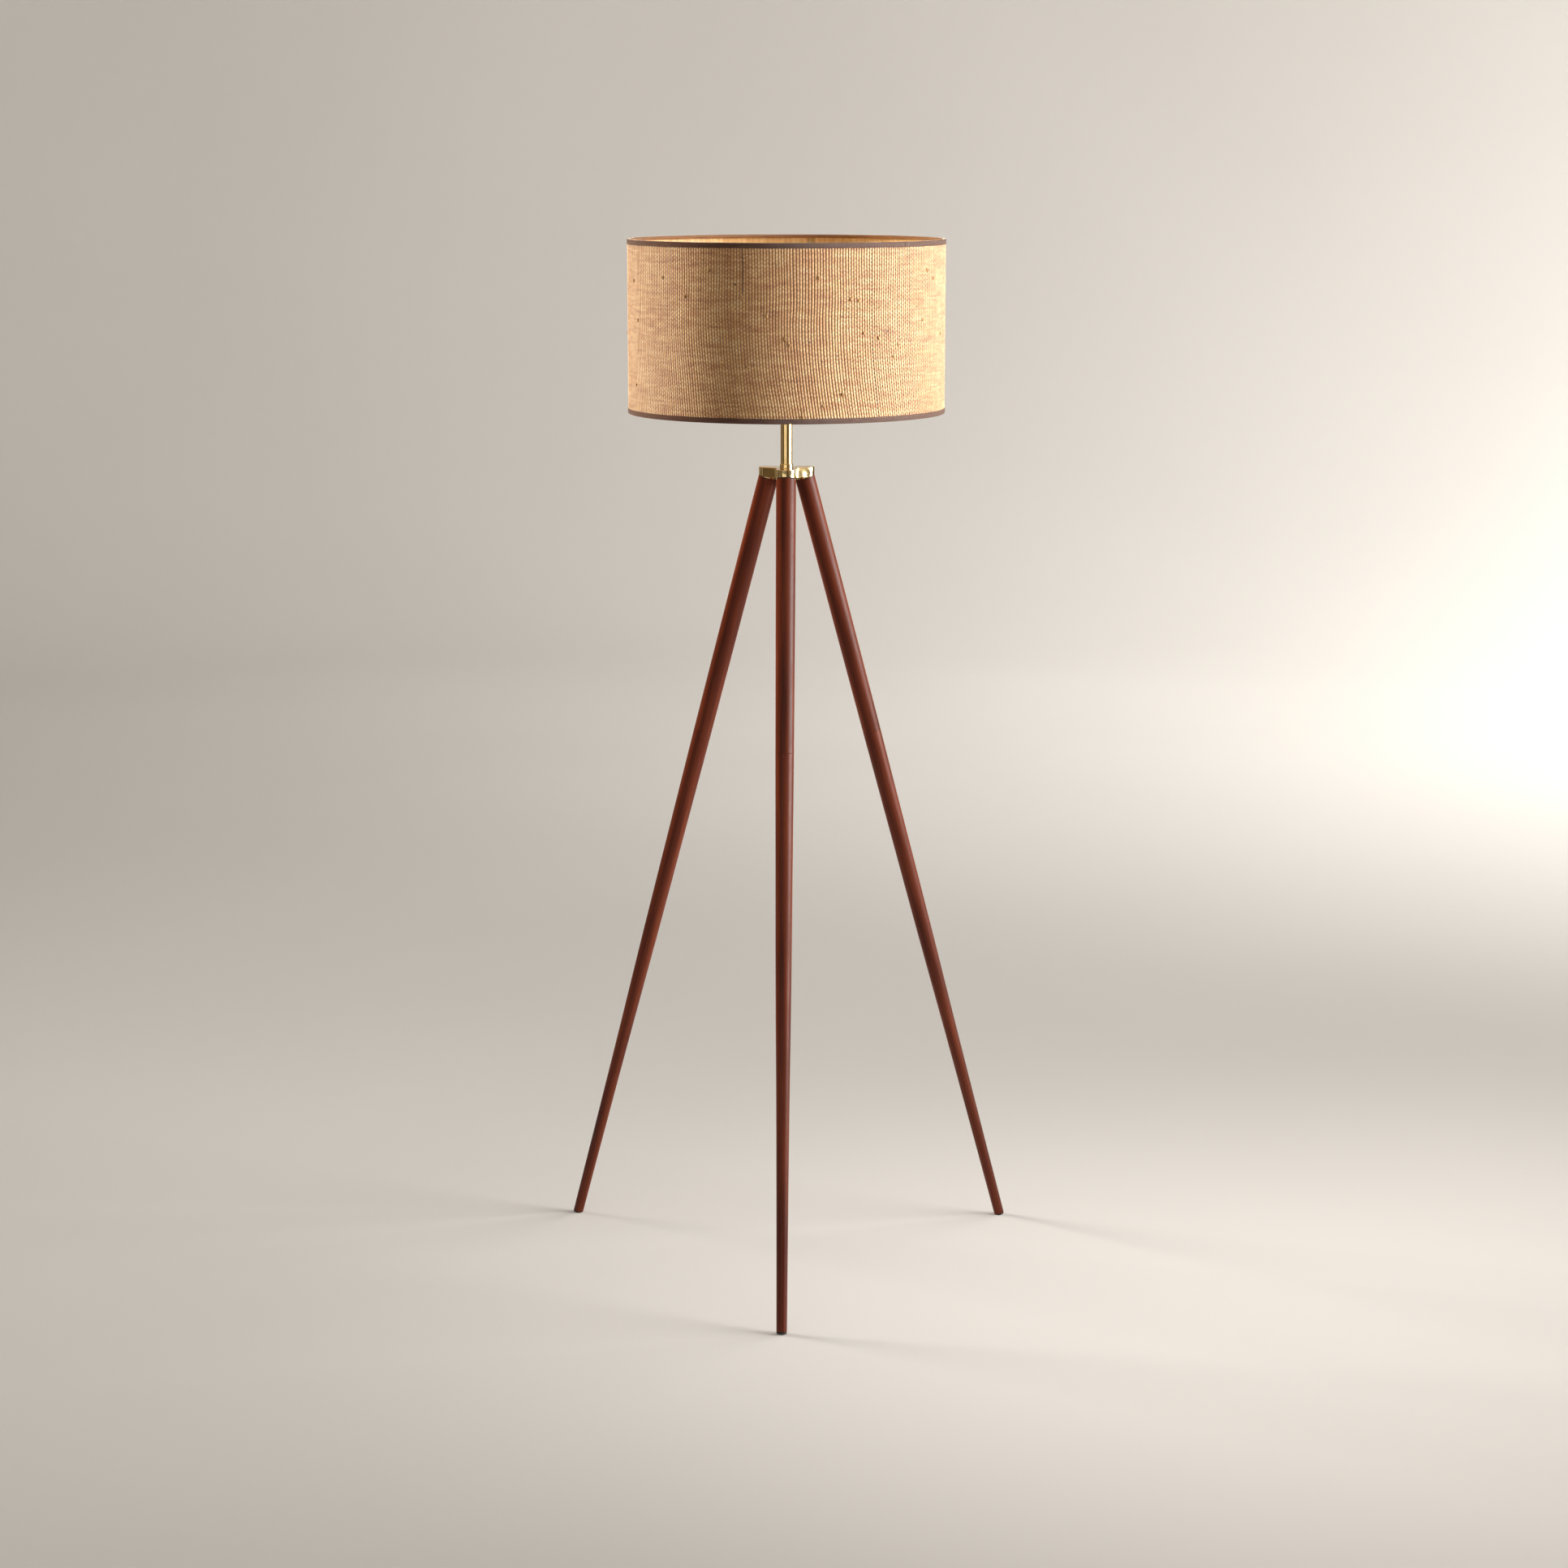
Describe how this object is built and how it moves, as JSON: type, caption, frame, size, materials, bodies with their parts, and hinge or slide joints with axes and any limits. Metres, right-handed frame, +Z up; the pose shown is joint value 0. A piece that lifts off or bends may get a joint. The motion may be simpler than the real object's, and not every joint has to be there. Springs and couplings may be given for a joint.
{
  "type": "tripod floor lamp",
  "caption": "Floor lamp on three splayed wooden legs joined by a polished brass hub and stem, with a woven drum shade over a screw-in bulb and a turn-knob switch.",
  "frame": {"origin": "on the floor, on the lamp's vertical axis, at the centre of the circle that the three feet stand on", "axes": "+Z up along the stem and shade axis; -Y towards the front leg; +X towards the right leg's side and the switch knob"},
  "size_m": [0.6716, 0.6153, 1.51],
  "materials": {
    "brass": "polished and clear lacquered",
    "brass_shell": "bright rolled brass",
    "leg_wood": "dark red-brown stain under satin lacquer",
    "fibre_washer": "matt black fibre",
    "foot_rubber": "matt black",
    "zinc_steel": "bright zinc plated",
    "black_nylon": "moulded satin",
    "phenolic": "moulded black phenolic",
    "knob_plastic": "gloss moulded",
    "porcelain": "white unglazed porcelain",
    "lining": "matt cream styrene sheet",
    "raffia": "natural golden-tan grasscloth weave",
    "edge_tape": "taupe brown bias tape",
    "white_wire": "white enamel",
    "bulb_glass": "soft white frosted",
    "bulb_cap": "bright rolled thread",
    "bulb_black_glass": "black vitrified insulator",
    "solder": "tinned contact"
  },
  "bodies": {
    "lamp": {"cord_bushing": "black_nylon", "foot_pad_front": "foot_rubber", "foot_pad_left": "foot_rubber", "foot_pad_right": "foot_rubber", "hub_body": "brass", "leg_insert_front": "brass_shell", "leg_insert_left": "brass_shell", "leg_insert_right": "brass_shell", "leg_joint_stud_front": "zinc_steel", "leg_joint_stud_left": "zinc_steel", "leg_joint_stud_right": "zinc_steel", "leg_lower_front": "leg_wood", "leg_lower_left": "leg_wood", "leg_lower_right": "leg_wood", "leg_top_stud_front": "zinc_steel", "leg_top_stud_left": "zinc_steel", "leg_top_stud_right": "zinc_steel", "leg_upper_front": "leg_wood", "leg_upper_left": "leg_wood", "leg_upper_right": "leg_wood", "leg_washer_front": "fibre_washer", "leg_washer_left": "fibre_washer", "leg_washer_right": "fibre_washer", "rod_nut": "zinc_steel", "rod_washer": "zinc_steel", "shade_bottom_ring": "white_wire", "shade_bottom_tape": "edge_tape", "shade_clamp_ring": "phenolic", "shade_fabric": "raffia", "shade_fitter_ring": "white_wire", "shade_lining": "lining", "shade_spokes": "white_wire", "shade_top_ring": "white_wire", "shade_top_tape": "edge_tape", "socket_cap": "brass", "socket_contact": "brass_shell", "socket_core": "porcelain", "socket_housing": "phenolic", "socket_locknut": "zinc_steel", "socket_screw_shell": "brass_shell", "socket_set_screw": "zinc_steel", "socket_terminal_screws": "zinc_steel", "stem_collar": "brass", "stem_rod": "zinc_steel", "stem_tube": "brass", "switch_block": "phenolic"},
    "switch": {"switch_knob": "knob_plastic", "switch_rotor": "phenolic", "switch_shaft": "zinc_steel"},
    "bulb": {"bulb_cap": "bulb_cap", "bulb_contact": "solder", "bulb_glass": "bulb_glass", "bulb_insulator": "bulb_black_glass"}
  },
  "joints": [
    {"name": "switch_turn", "type": "hinge", "parent": "lamp", "child": "switch", "pos_m": [0.03, 0, 1.291], "axis": [1, 0, 0], "continuous": true},
    {"name": "bulb_removal", "type": "slide", "parent": "lamp", "child": "bulb", "axis": [0, 0, 1], "range_m": [0, 0.22]}
  ]
}
